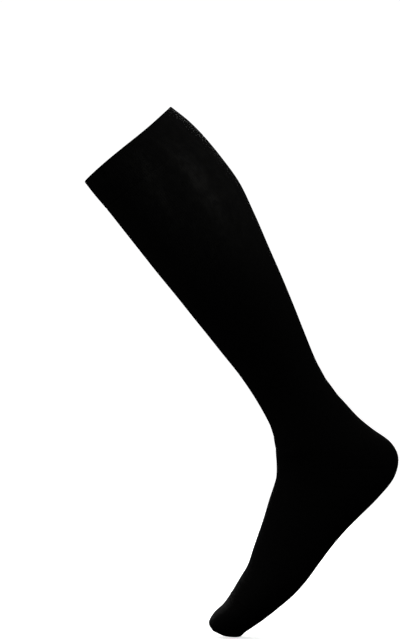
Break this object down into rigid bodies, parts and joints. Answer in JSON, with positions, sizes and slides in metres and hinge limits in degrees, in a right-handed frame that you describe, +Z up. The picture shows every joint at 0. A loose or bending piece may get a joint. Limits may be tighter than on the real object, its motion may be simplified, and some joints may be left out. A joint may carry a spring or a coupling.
{
  "type": "compression stocking",
  "caption": "Knee-high graduated compression stocking with a turned welt, knitted-in heel and closed toe, filled out as in wear, knee bent and heel lifted.",
  "frame": {"origin": "centre of the top opening, where the wearer's leg holds the stocking up", "axes": "+Z up, -X the way the toe points, +Y towards the inner side of the leg; the leg leans so that the toe is forward of the heel and lowest"},
  "size_m": [0.2979, 0.1086, 0.5041],
  "materials": {
    "welt_knit": "matt black double knit with spandex, turned at the rim",
    "leg_knit": "matt black fine-gauge jersey of nylon and spandex",
    "plush_knit": "matt black jersey, denser and thicker than the leg"
  },
  "bodies": {
    "root": {"top_band": "welt_knit", "calf": "leg_knit", "ankle": "leg_knit", "instep": "leg_knit", "heel_pocket": "plush_knit", "foot": "leg_knit", "toe_pocket": "plush_knit"}
  },
  "joints": []
}
